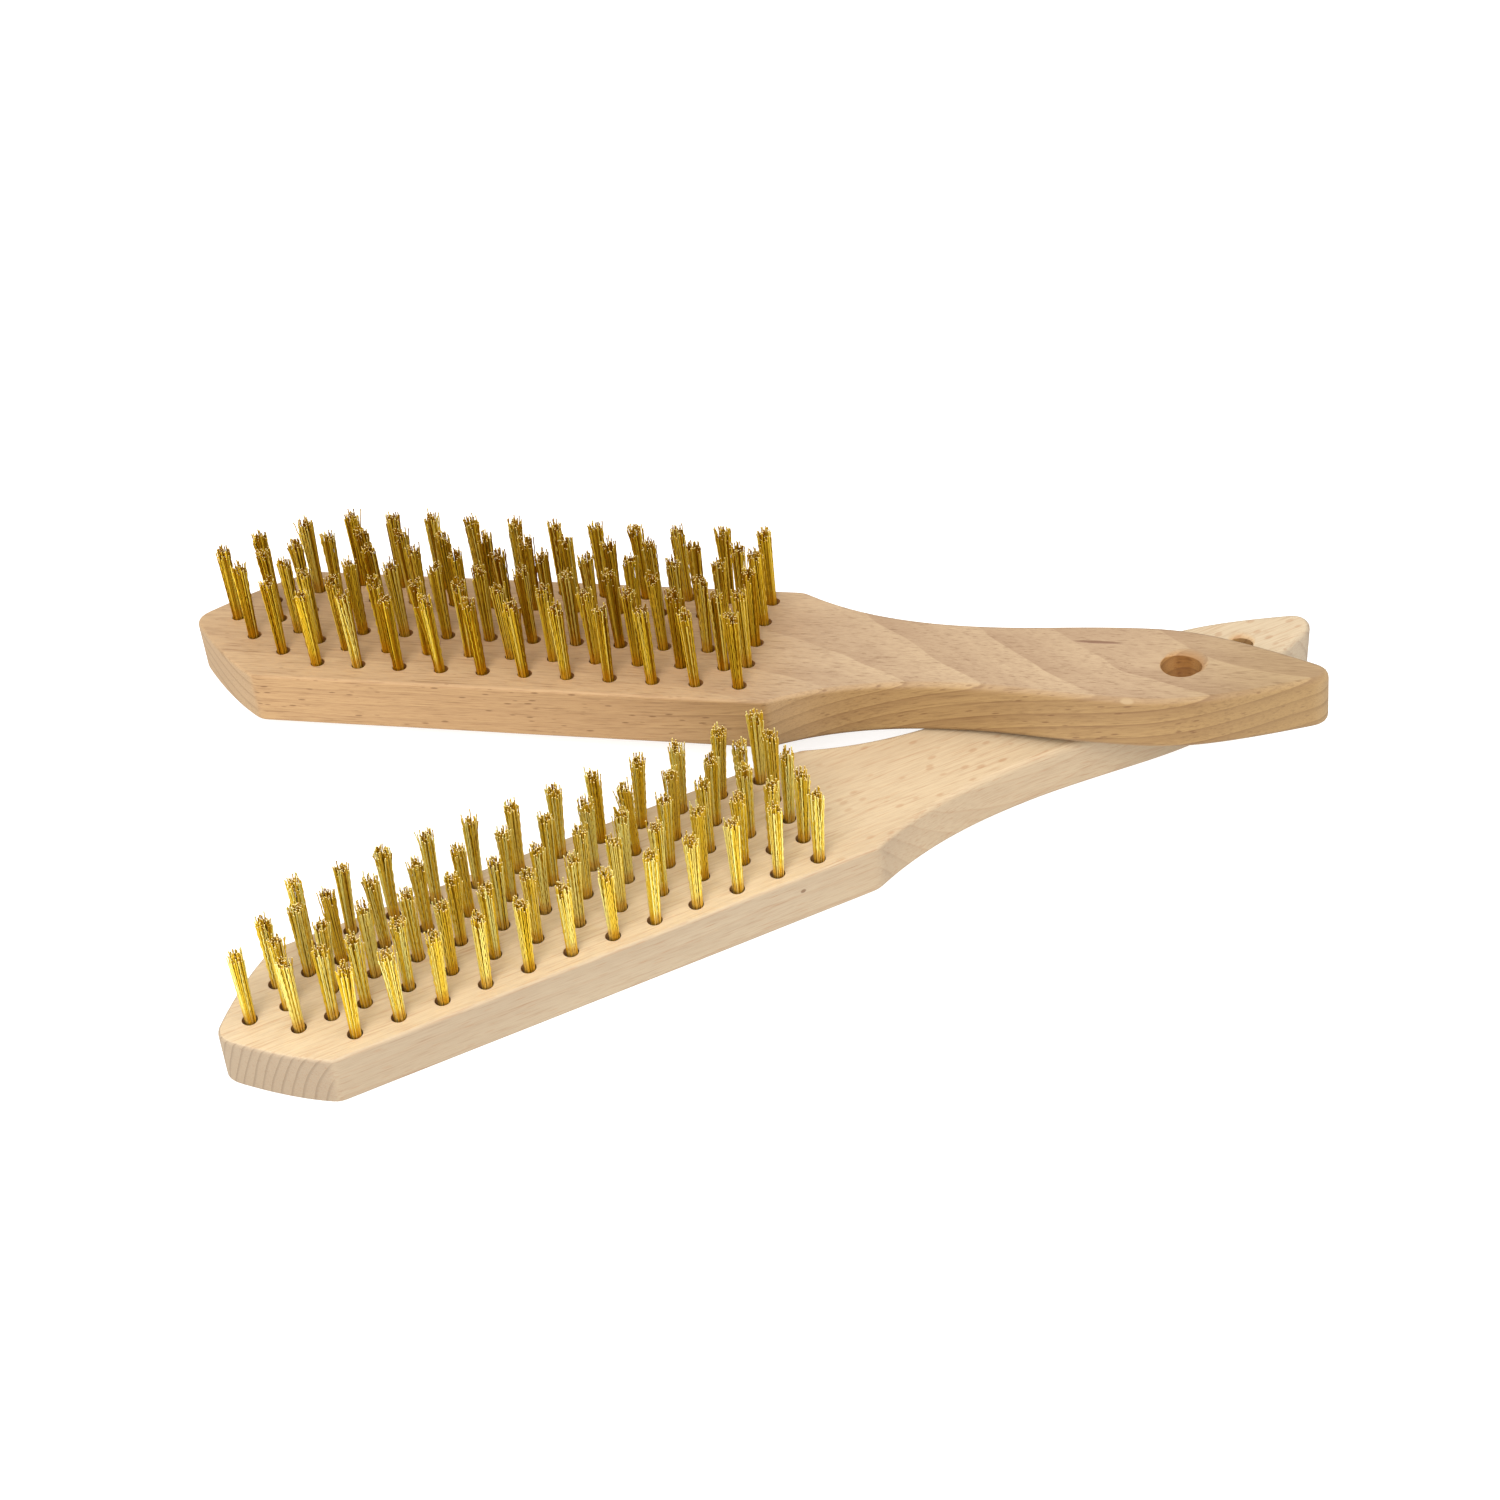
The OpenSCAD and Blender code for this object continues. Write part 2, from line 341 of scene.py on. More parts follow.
def uneven(rng, count, size, waves=5):
    """A closed wobble round a ring: count values of about size."""
    a = 2 * math.pi * np.arange(count) / count
    wobble = sum(
        rng.normal() / k**0.5 * np.cos(k * a + rng.uniform(0, 2 * math.pi))
        for k in range(1, waves + 1)
    )
    return size * wobble / waves**0.5


def smoothstep(low, high, x):
    t = np.clip((x - low) / (high - low), 0, 1)
    return t * t * (3 - 2 * t)


def tuft_centers(brush, node):
    """Centres of a row's tufts in the brush's frame, from the rims of their ends in the CAD."""
    local = brush.from_row([v.co for v in frame["nodes"][node].data.vertices])
    rims = local[local[:, 2] > local[:, 2].max() - 0.01][:, :2]
    centers = []
    while len(rims):
        near = np.linalg.norm(rims - rims[0], axis=1) < 1.1 * TUFT_END_D
        centers.append((rims[near].min(0) + rims[near].max(0)) / 2)
        rims = rims[~near]
    return sorted(centers, key=lambda c: (c[0], c[1]))


def block_shell(brush, centers):
    """A block with eased edges, its drilled tuft holes and its hanging hole."""
    rng = np.random.default_rng(brush.seed)
    shell = Shell()
    flat, out = outline(brush)
    out3 = np.column_stack([out, np.zeros(len(out))])
    handle = smoothstep(HEAD_LENGTH - 5, HEAD_LENGTH + 40, flat[:, 0])
    edge_r = HEAD_EDGE_R + (HANDLE_EDGE_R - HEAD_EDGE_R) * handle
    edge_r *= 1 + uneven(rng, len(flat), EDGE_WEAR, waves=24)
    turns = np.radians(np.linspace(0, 90, EDGE_STEPS + 1))
    rings = []
    for side, angles in ((-1, turns[::-1]), (1, turns)):
        for a in angles:
            inset = edge_r * (1 - math.cos(a))
            rise = edge_r * (1 - math.sin(a))
            z = rise if side < 0 else brush.thickness - rise
            points = np.column_stack([flat - out * inset[:, None], z])
            normals = out3 * math.cos(a) + UP * side * math.sin(a)
            rings.append(shell.add(points, normals))
    for low, high in zip(rings, rings[1:]):
        shell.band(high, low)

    top_rings, bottom_rings = [rings[-1]], [rings[0]]
    top = brush.thickness
    for c in centers:
        lip = TUFT_HOLE_D / 2 + TUFT_HOLE_BREAK + uneven(rng, TUFT_HOLE_STEPS, 0.04)
        mouth = shell.add(*circle(c, lip, top, inward=False))
        wall = [
            shell.add(*circle(c, np.full(TUFT_HOLE_STEPS, TUFT_HOLE_D / 2), z), bored=1.0)
            for z in (top - 0.2, top - TUFT_HOLE_DEPTH)
        ]
        shell.band(mouth, wall[0])
        shell.band(*wall)
        shell.faces.append(tuple(int(i) for i in wall[1]))
        top_rings.append(mouth)

    hang = (brush.length - brush.hang_inset, 0)
    a = 2 * math.pi * np.arange(HANG_STEPS) / HANG_STEPS
    chipped = np.clip(np.cos(a - math.radians(CHIP_ANGLE)), 0, 1) ** 0.8
    rough = np.abs(uneven(rng, HANG_STEPS, CHIP_ROUGHNESS, waves=14))
    wide = HANG_BREAK + brush.hole_chip * chipped + rough
    lip_z = top - CHIP_SLOPE * wide
    radius = np.full(HANG_STEPS, brush.hang_hole_d / 2)
    mouth = shell.add(*circle(hang, radius + wide, top, inward=False))
    lip_points, inward = circle(hang, radius, lip_z)
    lip = shell.add(lip_points, inward * 0.4 + UP * 0.9, bored=0.6)
    wall_top = shell.add(*circle(hang, radius, lip_z - 0.2), bored=1.0)
    low_lip = shell.add(*circle(hang, radius, HANG_LOW_BREAK), bored=1.0)
    low_mouth_points, up = circle(hang, radius + HANG_LOW_BREAK, 0, inward=False)
    low_mouth = shell.add(low_mouth_points, -up)
    shell.band(mouth, lip)
    shell.band(lip, wall_top)
    shell.band(wall_top, low_lip)
    shell.band(low_lip, low_mouth)
    top_rings.append(mouth)
    bottom_rings.append(low_mouth)

    shell.cap(top_rings, upward=True)
    shell.cap(bottom_rings, upward=False)
    return shell


def add_attribute(mesh, name, values):
    attribute = mesh.attributes.new(name, "FLOAT_VECTOR", "POINT")
    attribute.data.foreach_set("vector", np.asarray(values, np.float32).ravel())


def add_piece(name, mesh, brush, stands_for):
    """Puts a mesh in the scene, to move with the brush's body."""
    piece = bpy.data.objects.new(name, mesh)
    bpy.context.scene.collection.objects.link(piece)
    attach(piece, f"{brush.name}_brush")
    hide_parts(stands_for)
    return piece


def fibre_direction(brush, points):
    """Unit vectors along the wood's fibres, which rise with the grain along the handle."""
    rise = brush.grain_rise / np.cosh((points[:, 0] - brush.rise_at) / RISE_SPREAD) ** 2
    along = np.column_stack([np.ones(len(points)), np.zeros(len(points)), rise])
    return along / np.linalg.norm(along, axis=1, keepdims=True)


def add_block(brush, material, centers):
    shell = block_shell(brush, centers)
    points, normals = np.vstack(shell.points), np.vstack(shell.normals)
    mesh = bpy.data.meshes.new(f"{brush.name}_block_wood")
    mesh.from_pydata(brush.to_row(points).tolist(), [], shell.faces)
    mesh.materials.append(material)
    mesh.shade_smooth()
    mesh.normals_split_custom_set_from_vertices(brush.to_row(normals, place=False).tolist())
    end_grain = np.abs((normals * fibre_direction(brush, points)).sum(1))
    add_attribute(mesh, "grain", points)
    add_attribute(mesh, "cut", np.column_stack([end_grain, np.abs(normals[:, 1:])]))
    # Only the Z part of "bored" is read.
    add_attribute(mesh, "bored", np.outer(np.concatenate(shell.bored), UP))
    return add_piece(
        f"{brush.name}_block_wood", mesh, brush, f"{brush.name}_block"
    )


# Wires


def wire_sites():
    """Places across half a tuft, as shares of its radius: each wire folds over to its mirror."""
    pitch = 2 * 1.06 * WIRE_D / TUFT_BASE_D
    sites = []
    for row in range(-6, 7):
        for column in range(0, 7):
            x = (column + (0.5 if row % 2 else 0.25)) * pitch
            y = row * pitch * math.sqrt(3) / 2
            if math.hypot(x, y) < 1 - pitch / 2.5:
                sites.append((x, y))
    return np.array(sites)


def strand(rng, sites, side, steps, thickness, lean):
    """Half of each folded wire, from the staple's crown up to its cut end, about the hole's axis.

    Returns an array (wires, steps, 3) and the share of its free length at each point."""
    n = len(sites)
    hole_floor = thickness - TUFT_HOLE_DEPTH
    root = hole_floor + CROWN_HEIGHT
    ragged = np.clip(rng.normal(CUT_MEAN, CUT_SPREAD, n), CUT_LEAST, CUT_MOST)
    long_ones = rng.random(n) < LONG_SHARE
    ragged[long_ones] = rng.uniform(*LONG_RISE, long_ones.sum())
    tops = thickness + TUFT_LENGTH + ragged
    share = np.linspace(0, 1, steps)
    z = root + (tops[:, None] - root) * share
    flare = smoothstep(root, hole_floor + 4, z)
    free = np.clip((z - thickness) / TUFT_LENGTH, 0, 1.1)
    radius = (
        FOLD_R + (TUFT_BASE_D / 2 - FOLD_R) * flare + (SPLAY_D - TUFT_BASE_D) / 2 * free**1.2
    ) - WIRE_D / 2
    base = np.stack([side * sites[:, 0], sites[:, 1]], 1) + rng.normal(0, WIRE_DRIFT, (n, 2))
    xy = base[:, None, :] * radius[:, :, None]

    phase = rng.uniform(0, 2 * math.pi, (n, 1))
    wave = CRIMP_LENGTH * rng.uniform(0.85, 1.2, (n, 1))
    crimp = CRIMP_DEPTH * rng.uniform(0.4, 1.5, (n, 1)) * np.sin(2 * math.pi * z / wave + phase)
    heading = rng.uniform(0, math.pi, n)
    crimp_way = np.stack([np.cos(heading), np.sin(heading)], 1)
    loose = flare * smoothstep(-0.1, 0.3, (z - thickness) / TUFT_LENGTH)
    xy = xy + crimp_way[:, None, :] * (crimp * loose)[:, :, None]

    splay = rng.normal(0, SPLAY_SPREAD, (n, 2))
    splay[rng.random(n) < STRAY_SHARE] *= STRAY_TIMES
    xy = xy + splay[:, None, :] * (free**2.5)[:, :, None]
    xy = xy + lean[None, None, :] * free[:, :, None] * TUFT_LENGTH
    return np.concatenate([xy, z[:, :, None]], 2), free


def folded_wires(rng, sites, steps, thickness, lean):
    """Whole wires: down one side, under the staple's crown, and up the other side."""
    left, left_free = strand(rng, sites, -1, steps, thickness, lean)
    right, right_free = strand(rng, sites, 1, steps, thickness, lean)
    floor = thickness - TUFT_HOLE_DEPTH
    depth = floor + 0.2 + 0.35 * rng.random(len(sites))
    fold = np.stack([np.zeros(len(sites)), sites[:, 1] * FOLD_R, depth], 1)[:, None, :]
    points = np.concatenate([left[:, ::-1], fold, right], 1)
    free = np.concatenate([left_free[:, ::-1], np.zeros((len(sites), 1)), right_free], 1)
    return points, free


def tubes(points, free, tones_with_shade):
    """Tubes along wires: vertices, quads, end caps, and each vertex's (tone, height, cut end)."""
    wires, steps, _ = points.shape
    sides = WIRE_SIDES
    tangent = np.gradient(points, axis=1)
    tangent /= np.linalg.norm(tangent, axis=2, keepdims=True)
    across = np.array([0.0, 1.0, 0.0]) - tangent * tangent[:, :, 1:2]
    across /= np.linalg.norm(across, axis=2, keepdims=True)
    other = np.cross(tangent, across)
    a = 2 * math.pi * (np.arange(sides) + 0.25) / sides
    radius = np.full((1, steps, 1, 1), WIRE_D / 2)
    radius[:, [0, -1]] *= CUT_END_SPREAD
    ring = (
        points[:, :, None, :]
        + radius * np.cos(a)[None, None, :, None] * across[:, :, None, :]
        + radius * np.sin(a)[None, None, :, None] * other[:, :, None, :]
    )
    index = np.arange(wires * steps * sides).reshape(wires, steps, sides)
    nxt = np.roll(index, -1, axis=2)
    quads = np.stack([index[:, :-1], nxt[:, :-1], nxt[:, 1:], index[:, 1:]], -1).reshape(-1, 4)
    look = np.stack(
        np.broadcast_arrays(tones_with_shade[:, None, None], free[:, :, None], np.zeros((1, 1, sides))), -1
    )
    caps = ring[:, [0, -1]].reshape(-1, 3)
    cap_look = look[:, [0, -1]].reshape(-1, 3).copy()
    cap_look[:, 2] = 1
    first = wires * steps * sides
    cap_index = first + np.arange(wires * 2 * sides).reshape(wires, 2, sides)
    cap_index[:, 0] = cap_index[:, 0, ::-1]
    vertices = np.concatenate([ring.reshape(-1, 3), caps])
    return vertices, quads, cap_index.reshape(-1, sides), np.concatenate([look.reshape(-1, 3), cap_look])


def add_tufts(brush, node, material):
    """A row of tufts: bundles of crimped wires, each folded in half round its staple."""
    rng = np.random.default_rng([brush.seed, sum(map(ord, node))])
    sites = wire_sites()
    inner = np.hypot(*sites.T) < INNER_SHARE
    vertices, quads, caps, looks = [], [], [], []
    count = 0
    for center in tuft_centers(brush, node):
        lean = rng.normal(0, TUFT_LEAN, 2)
        shift = np.array(brush.tuft_shift) * rng.uniform(0.85, 1.05)
        shift += rng.normal(0, TUFT_DRIFT, 2)
        spot = np.array([center[0] + shift[0], center[1] + shift[1], 0])
        for group, steps in ((sites[~inner], OUTER_STEPS), (sites[inner], INNER_STEPS)):
            points, free = folded_wires(rng, group, steps, brush.thickness, lean)
            tones_with_shade = rng.uniform(*brush.wire_tone, len(group))
            # Painted shade: wires nearer the middle of the tuft get darker tones, on top of their random
            # tone.
            tones_with_shade *= 0.4 + 0.6 * smoothstep(0.5, 0.85, np.hypot(*group.T))
            v, q, c, look = tubes(points + spot, free, tones_with_shade)
            vertices.append(v)
            quads.append(q + count)
            caps.append(c + count)
            looks.append(look)
            count += len(v)
    vertices, quads, caps = np.concatenate(vertices), np.concatenate(quads), np.concatenate(caps)
    mesh = bpy.data.meshes.new(f"{node}_wires")
    mesh.vertices.add(len(vertices))
    mesh.vertices.foreach_set("co", brush.to_row(vertices).astype(np.float32).ravel())
    corners = np.concatenate([quads.ravel(), caps.ravel()]).astype(np.int32)
    sizes = np.concatenate([np.full(len(quads), 4), np.full(len(caps), WIRE_SIDES)])
    mesh.loops.add(len(corners))
    mesh.loops.foreach_set("vertex_index", corners)
    mesh.polygons.add(len(sizes))
    starts = np.concatenate([[0], np.cumsum(sizes)[:-1]]).astype(np.int32)
    mesh.polygons.foreach_set("loop_start", starts)
    mesh.update(calc_edges=True)
    mesh.validate()
    mesh.materials.append(material)
    mesh.shade_smooth()
    add_attribute(mesh, "wire", np.concatenate(looks))
    return add_piece(f"{node}_wires", mesh, brush, node)


# Materials


def linear(r, g, b):
    """A colour given as 8-bit sRGB, in linear light."""
    parts = [c / 255 for c in (r, g, b)]
    return tuple(c / 12.92 if c <= 0.04045 else ((c + 0.055) / 1.055) ** 2.4 for c in parts) + (1,)


class Nodes:
    """Short calls for building a material's node tree."""

    def __init__(self, name):
        self.material = bpy.data.materials.new(name)
        self.material.use_nodes = True
        self.tree = self.material.node_tree
        self.shader = self.tree.nodes["Principled BSDF"]

    def put(self, node, socket, value):
        if isinstance(value, bpy.types.NodeSocket):
            self.tree.links.new(value, node.inputs[socket])
        else:
            node.inputs[socket].default_value = value

    def attribute(self, name):
        node = self.tree.nodes.new("ShaderNodeAttribute")
        node.attribute_name = name
        return node.outputs["Vector"]

    def parts(self, vector):
        node = self.tree.nodes.new("ShaderNodeSeparateXYZ")
        self.put(node, 0, vector)
        return tuple(node.outputs)

    def math(self, operation, a, b=0.0, c=0.0, clamp=False):
        node = self.tree.nodes.new("ShaderNodeMath")
        node.operation = operation
        node.use_clamp = clamp
        self.put(node, 0, a)
        self.put(node, 1, b)
        self.put(node, 2, c)
        return node.outputs[0]

    def between(self, share, low, high):
        """A value that goes from low to high as share goes from 0 to 1."""
        return self.math("MULTIPLY_ADD", share, high - low, low)

    def vector(self, operation, a, b=(0, 0, 0)):
        node = self.tree.nodes.new("ShaderNodeVectorMath")
        node.operation = operation
        self.put(node, 0, a)
        if operation != "LENGTH":
            self.put(node, 1, b)
        return node.outputs["Value" if operation in ("DOT_PRODUCT", "LENGTH") else "Vector"]

    def cells(self, vector):
        """The distance to the nearest of many scattered points, and that point's own chance."""
        node = self.tree.nodes.new("ShaderNodeTexVoronoi")
        self.put(node, "Vector", vector)
        self.put(node, "Scale", 1.0)
        return node.outputs["Distance"], self.parts(node.outputs["Color"])[0]

    def noise(self, vector, scale, detail=2.0, roughness=0.5):
        node = self.tree.nodes.new("ShaderNodeTexNoise")
        self.put(node, "Vector", vector)
        self.put(node, "Scale", scale)
        self.put(node, "Detail", detail)
        self.put(node, "Roughness", roughness)
        return node.outputs["Fac"]

    def ramp(self, value, low, high):
        """0 below low, 1 above high, and smooth between them."""
        node = self.tree.nodes.new("ShaderNodeMapRange")
        node.interpolation_type = "SMOOTHSTEP"
        self.put(node, "Value", value)
        self.put(node, "From Min", low)
        self.put(node, "From Max", high)
        return node.outputs["Result"]

    def mix(self, factor, a, b, blend="MIX"):
        node = self.tree.nodes.new("ShaderNodeMix")
        node.data_type = "RGBA"
        node.blend_type = blend
        self.put(node, 0, factor)
        self.put(node, 6, a)
        self.put(node, 7, b)
        return node.outputs[2]

    def bump(self, height, distance, strength=1.0):
        node = self.tree.nodes.new("ShaderNodeBump")
        self.put(node, "Height", height)
        self.put(node, "Distance", distance)
        self.put(node, "Strength", strength)
        self.put(self.shader, "Normal", node.outputs["Normal"])


# Sizes in millimetres of what is drawn in the wood: along the fibres, outwards and around.
LAYER_WANDER = (55, 9, 22)
LAYER_PATCHES = (45, 6, 12)
SLOW_TONES = (90, 16, 22)
FIBRES = (5, 0.3, 0.3)
STREAKS = (11, 0.5, 0.5)
PORES = (40, 0.16, 0.16)

FINE_LAYERS = 3.0
HANDLE_FROM = HEAD_LENGTH - 35
HANDLE_TO = HEAD_LENGTH + 15
TAIL_FROM = BELLY_X - 5
TAIL_TO = BELLY_X + 35
# Painted shade inside the drilled holes: darker and warmer, as light bouncing in them would make it.
HOLE_WALL_PAINTED_SHADE = (1.02, 0.74, 0.4, 1)
PLAIN_TINT = (1, 1, 1, 1)
RELIEF = 0.00008


@dataclass
class Flecks:
    """Short marks along the fibres: the space each has, the part of it that it fills, the share
    that show, and how strong they are."""

    room: tuple
    fill: float
    share: float
    on_head: float
    on_top: float
    on_side: float


@dataclass
class Mark:
    """A single knot or streak: its centre, its half sizes, its colour and how strong it is."""

    at: tuple
    reach: tuple
    colour: tuple
    depth: float


@dataclass
class Knot:
    """A knot that swells the growth layers round it: its centre, half sizes and height."""

    at: tuple
    reach: tuple
    height: float


@dataclass
class Beech:
    """How one piece of beech looks."""

    pale: tuple
    dark: tuple
    end_tone: tuple
    end_line_tone: tuple
    fleck_tone: tuple
    # The next three tints are painted light and shade: more light on the head's top, and shade on the
    # side faces of the head and of the handle.
    head_painted_light: tuple
    side_painted_shade: tuple
    handle_side_painted_shade: tuple
    tail_tint: tuple
    ring_width: float
    ring_start: float
    ring_depth: float
    head_ring_share: float
    line_depth: float
    end_line_depth: float
    streak_depth: float
    wander: float
    flecks: tuple
    knots: tuple
    marks: tuple


def beech(brush, look):
    """Beech, coloured in the tree's own directions: growth layers, rays and fibres.

    Each knot lifts the layers round it. The brush's pith is where the tree's middle would be."""
    n = Nodes(f"{brush.name}_beech_wood")
    place = n.attribute("grain")
    x, y, z = n.parts(place)
    end, side, top = n.parts(n.attribute("cut"))

    past = n.math("DIVIDE", n.math("SUBTRACT", x, float(brush.rise_at)), float(RISE_SPREAD))
    rise = n.math("MULTIPLY", n.math("TANH", past), brush.grain_rise * RISE_SPREAD)
    for knot in look.knots:
        from_knot = n.vector("DIVIDE", n.vector("SUBTRACT", place, knot.at), knot.reach)
        swell = n.math("POWER", 0.5, n.vector("DOT_PRODUCT", from_knot, from_knot))
        rise = n.math("ADD", rise, n.math("MULTIPLY", swell, knot.height))
    from_pith_y = n.math("SUBTRACT", y, float(brush.pith[0]))
    from_pith_z = n.math("SUBTRACT", n.math("SUBTRACT", z, rise), float(brush.pith[1]))
    squares = [n.math("MULTIPLY", v, v) for v in (from_pith_y, from_pith_z)]
    distance = n.math("SQRT", n.math("ADD", *squares))
    around = n.math("ARCTAN2", from_pith_y, from_pith_z)
    arc_length = n.math("MULTIPLY", around, math.hypot(*brush.pith))

    def tree_space(length, radial, tangential):
        """The point in the tree's directions, shrunk by the size of what is drawn."""
        node = n.tree.nodes.new("ShaderNodeCombineXYZ")
        sizes = (length, radial, tangential)
        for i, (value, size) in enumerate(zip((x, distance, arc_length), sizes)):
            n.put(node, i, n.math("DIVIDE", value, size))
        return node.outputs[0]

    drift = n.noise(tree_space(*LAYER_WANDER), 1.0, 2)
    wander = n.math("MULTIPLY", n.math("SUBTRACT", drift, 0.5), look.wander)
    inward = n.math("DIVIDE", n.math("SUBTRACT", look.ring_start, distance), look.ring_width)
    ring = n.math("ADD", inward, wander)
    phase = n.math("FRACT", ring)
    fine_phase = n.math("FRACT", n.math("MULTIPLY", ring, FINE_LAYERS))
    end_share = n.ramp(end, 0.22, 0.6)
    patchy = n.ramp(n.noise(tree_space(*LAYER_PATCHES), 1.0, 2), 0.3, 0.65)
    late = n.math("MULTIPLY", n.ramp(phase, 1.0, 0.05), n.ramp(phase, 0.0, 0.03))
    fine = n.math("MULTIPLY", n.ramp(fine_phase, 1.0, 0.1), n.ramp(fine_phase, 0.0, 0.06))
    late = n.math("MULTIPLY", late, n.math("ADD", n.math("MULTIPLY", patchy, 0.5), 0.5))
    fine = n.math("MULTIPLY", n.math("MULTIPLY", fine, patchy), 0.3)
    on_handle = n.ramp(x, HANDLE_FROM, HANDLE_TO)
    where = n.between(on_handle, look.head_ring_share, 1.0)
    shade = n.math("MULTIPLY", n.math("ADD", late, fine), n.math("MULTIPLY", where, look.ring_depth))
    colour = n.mix(shade, look.pale, look.dark)

    tone = n.noise(tree_space(*SLOW_TONES), 1.0, 3)
    colour = n.mix(n.math("MULTIPLY", n.ramp(tone, 0.35, 0.75), 0.4), colour, look.dark)
    fibres = n.noise(tree_space(*FIBRES), 1.0, 4, 0.65)
    colour = n.mix(n.math("MULTIPLY", n.ramp(fibres, 0.42, 0.72), 0.55), colour, look.dark)
    colour = n.mix(n.math("MULTIPLY", n.ramp(fibres, 0.45, 0.25), 0.4), colour, look.pale)
    streaks = n.ramp(n.noise(tree_space(*STREAKS), 1.0, 3, 0.6), 0.5, 0.75)
    colour = n.mix(n.math("MULTIPLY", streaks, look.streak_depth), colour, look.fleck_tone)
    # Painted light and shade: the head's top is tinted as if lit more, and the sides of head and handle
    # are darkened as shade.
    head_painted_light = n.mix(side, look.head_painted_light, look.side_painted_shade)
    handle_painted_shade = n.mix(side, PLAIN_TINT, look.handle_side_painted_shade)
    colour = n.mix(1.0, colour, n.mix(on_handle, head_painted_light, handle_painted_shade), "MULTIPLY")

    line = n.math("MULTIPLY", n.ramp(phase, 0.13, 0.05), n.ramp(phase, 0.0, 0.03))
    line_share = n.math("MULTIPLY", n.math("MAXIMUM", side, end_share), look.line_depth)
    line_share = n.math("MULTIPLY", line_share, where)
    colour = n.mix(n.math("MULTIPLY", line, line_share), colour, look.fleck_tone)

    along_grain = n.math("SUBTRACT", 1, n.ramp(end, 0.35, 0.7))
    marks = 0.0
    for flecks in look.flecks:
        distance_to, chance = n.cells(tree_space(*flecks.room))
        shape = n.ramp(distance_to, 1.3 * flecks.fill, 0.6 * flecks.fill)
        shape = n.math("MULTIPLY", shape, n.math("LESS_THAN", chance, flecks.share))
        shape = n.math("MULTIPLY", shape, n.between(on_handle, flecks.on_head, 1.0))
        depth = n.math(
            "ADD", n.math("MULTIPLY", top, flecks.on_top), n.math("MULTIPLY", side, flecks.on_side)
        )
        marks = n.math("MAXIMUM", marks, n.math("MULTIPLY", shape, depth))
    marks = n.math("MULTIPLY", marks, along_grain, clamp=True)
    colour = n.mix(marks, colour, look.fleck_tone)

    colour = n.mix(n.math("MULTIPLY", end_share, 0.62), colour, look.end_tone)
    broad_line = n.math("MULTIPLY", n.ramp(phase, 0.36, 0.1), n.ramp(phase, 0.0, 0.06))
    end_line = n.math("MULTIPLY", n.math("MULTIPLY", broad_line, end_share), look.end_line_depth)
    colour = n.mix(end_line, colour, look.end_line_tone)
    pores = n.noise(tree_space(*PORES), 1.0, 1)
    pore_depth = n.math("MULTIPLY", n.math("MULTIPLY", n.ramp(pores, 0.5, 0.72), end_share), 0.3)
    colour = n.mix(pore_depth, colour, look.fleck_tone)
    on_tail = n.ramp(x, TAIL_FROM, TAIL_TO)
    colour = n.mix(on_tail, colour, n.mix(1.0, colour, look.tail_tint, "MULTIPLY"))
    for mark in look.marks:
        from_mark = n.vector("DIVIDE", n.vector("SUBTRACT", place, mark.at), mark.reach)
        shape = n.ramp(n.vector("LENGTH", from_mark), 1.0, 0.5)
        colour = n.mix(n.math("MULTIPLY", shape, mark.depth), colour, mark.colour)
    # Painted shade on the drilled walls: darker and warmer.
    bored = n.parts(n.attribute("bored"))[2]
    colour = n.mix(bored, colour, n.mix(1.0, colour, HOLE_WALL_PAINTED_SHADE, "MULTIPLY"))
    n.put(n.shader, "Base Color", colour)

    rough = n.math("ADD", 0.56, n.math("MULTIPLY", fibres, 0.16))
    n.put(n.shader, "Roughness", n.math("ADD", rough, n.math("MULTIPLY", end_share, 0.12)))
    relief = n.math("SUBTRACT", n.math("MULTIPLY", fibres, -0.5), n.math("MULTIPLY", marks, 0.5))
    relief = n.math("SUBTRACT", relief, n.math("MULTIPLY", n.math("MULTIPLY", pores, end_share), 0.8))
    n.bump(relief, RELIEF, 0.6)
    n.shader.inputs["Specular IOR Level"].default_value = 0.35
    return n.material


def brass():
    """Drawn brass wire, a little different from wire to wire, warmer at its foot."""
    n = Nodes("crimped_brass_wire")
    tone, height, cut_end_glint = n.parts(n.attribute("wire"))
    pale, mid = linear(250, 246, 164), linear(238, 206, 58)
    brown, amber = linear(158, 104, 2), linear(210, 146, 18)
    colour = n.mix(n.ramp(tone, 0.45, 1.0), mid, pale)
    colour = n.mix(n.ramp(tone, 0.55, 0.05), colour, brown)
    foot = n.ramp(height, 0.22, 0.06)
    colour = n.mix(n.math("MULTIPLY", foot, 0.5), colour, amber)
    texture = n.tree.nodes.new("ShaderNodeTexCoord")
    stain = n.noise(texture.outputs["Object"], 900, 2)
    colour = n.mix(n.math("MULTIPLY", n.ramp(stain, 0.5, 0.75), 0.25), colour, brown)
    # Cut ends are paler and less metallic: partly the fresh metal's own colour, partly a painted glint.
    colour = n.mix(n.math("MULTIPLY", cut_end_glint, 0.85), colour, linear(240, 222, 164))
    n.put(n.shader, "Base Color", colour)
    n.put(n.shader, "Metallic", n.math("MULTIPLY_ADD", cut_end_glint, -0.6, 1.0))
    n.shader.inputs["Specular Tint"].default_value = (1, 0.8, 0.3, 1)
    n.put(n.shader, "Roughness", n.math("ADD", 0.46, n.math("MULTIPLY", stain, 0.2)))
    return n.material


def steel():
    """Bright drawn staple wire."""
    n = Nodes("staple_steel")
    texture = n.tree.nodes.new("ShaderNodeTexCoord")
    drawn = n.noise(texture.outputs["Object"], 1500, 3)
    n.put(n.shader, "Base Color", n.mix(drawn, linear(150, 150, 152), linear(205, 205, 204)))
    n.put(n.shader, "Metallic", 1.0)
    n.put(n.shader, "Roughness", n.math("ADD", 0.25, n.math("MULTIPLY", drawn, 0.2)))
    return n.material


